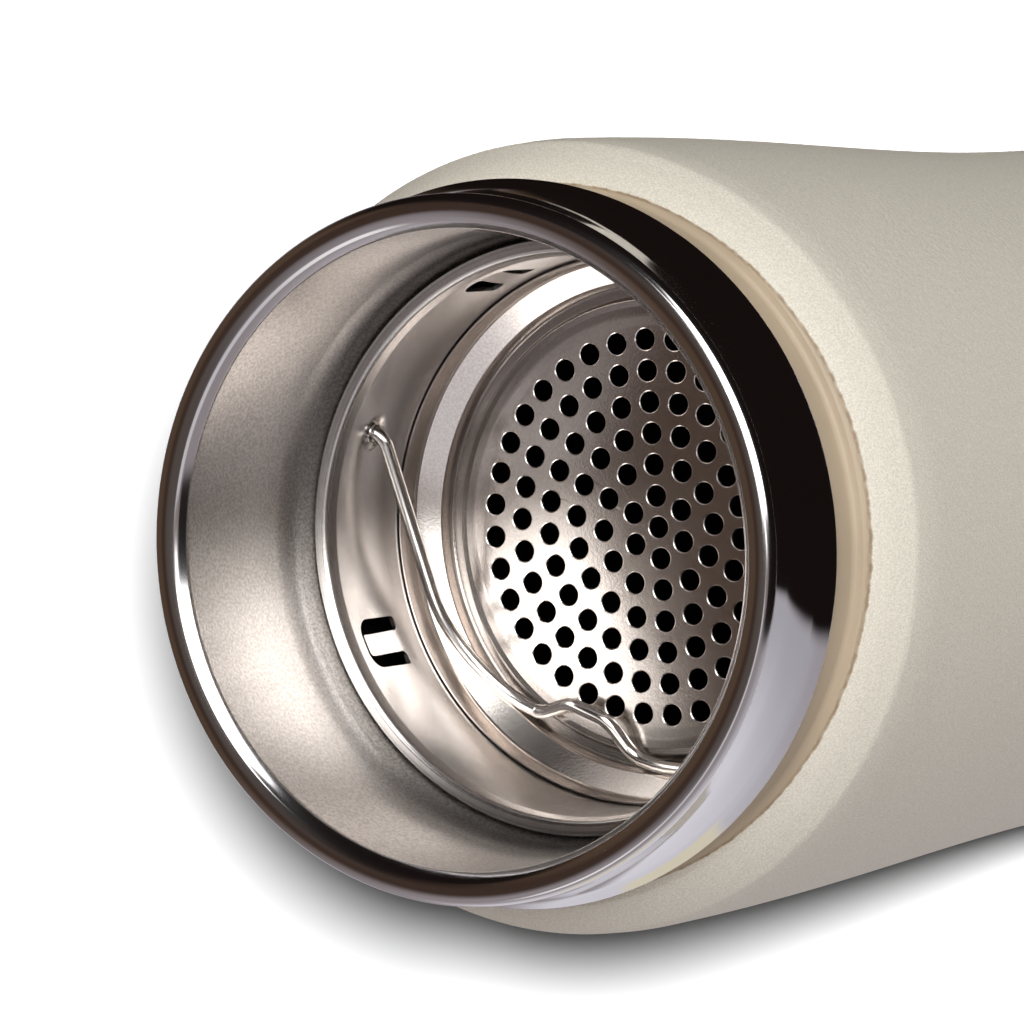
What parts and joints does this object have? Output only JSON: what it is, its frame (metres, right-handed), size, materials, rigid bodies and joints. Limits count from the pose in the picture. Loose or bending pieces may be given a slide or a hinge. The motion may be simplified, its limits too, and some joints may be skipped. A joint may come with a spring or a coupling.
{
  "type": "insulated tumbler",
  "caption": "Waisted double-wall vacuum tumbler, cream powder coat, polished steel neck, open mouth; a punched steel strainer sits in the neck and lifts out by a hinged wire bail.",
  "frame": {"origin": "centre of the foot, on the plane that the tumbler stands on", "axes": "+Z along the tumbler's axis out of its mouth; X along the hinge axis of the bail; at rest the bail lies on the +Y side"},
  "size_m": [0.0684, 0.0684, 0.2],
  "materials": {
    "coat": "cream powder coat with a fine grain",
    "polished_steel": "mirror-polished stainless steel",
    "blasted_steel": "bead-blasted stainless steel with a polished lip",
    "satin_steel": "half-polished stainless sheet",
    "wire_steel": "bright drawn stainless wire",
    "plain_steel": "mill-finish stainless sheet",
    "copper": "bright copper foil",
    "solder_glass": "fused solder glass",
    "getter_metal": "pressed getter tablet",
    "silicone": "matt silicone"
  },
  "bodies": {
    "bottle": {"outer_shell": "coat", "neck_collar": "polished_steel", "inner_liner": "blasted_steel", "liner_base": "blasted_steel", "copper_shield": "copper", "shell_base": "plain_steel", "seal_glass": "solder_glass", "getter_clip": "plain_steel", "getter": "getter_metal", "base_cover": "plain_steel", "foot_pad": "silicone"},
    "strainer": {"strainer_band": "satin_steel", "strainer_cup": "satin_steel"},
    "bail": {"bail_wire": "wire_steel"}
  },
  "joints": [
    {"name": "strainer_lift", "type": "slide", "parent": "bottle", "child": "strainer", "axis": [0, 0, 1], "range_m": [0, 0.06]},
    {"name": "bail_swing", "type": "hinge", "parent": "strainer", "child": "bail", "pos_m": [0, 0, 0.1751], "axis": [1, 0, 0], "range_deg": [0, 230]}
  ]
}
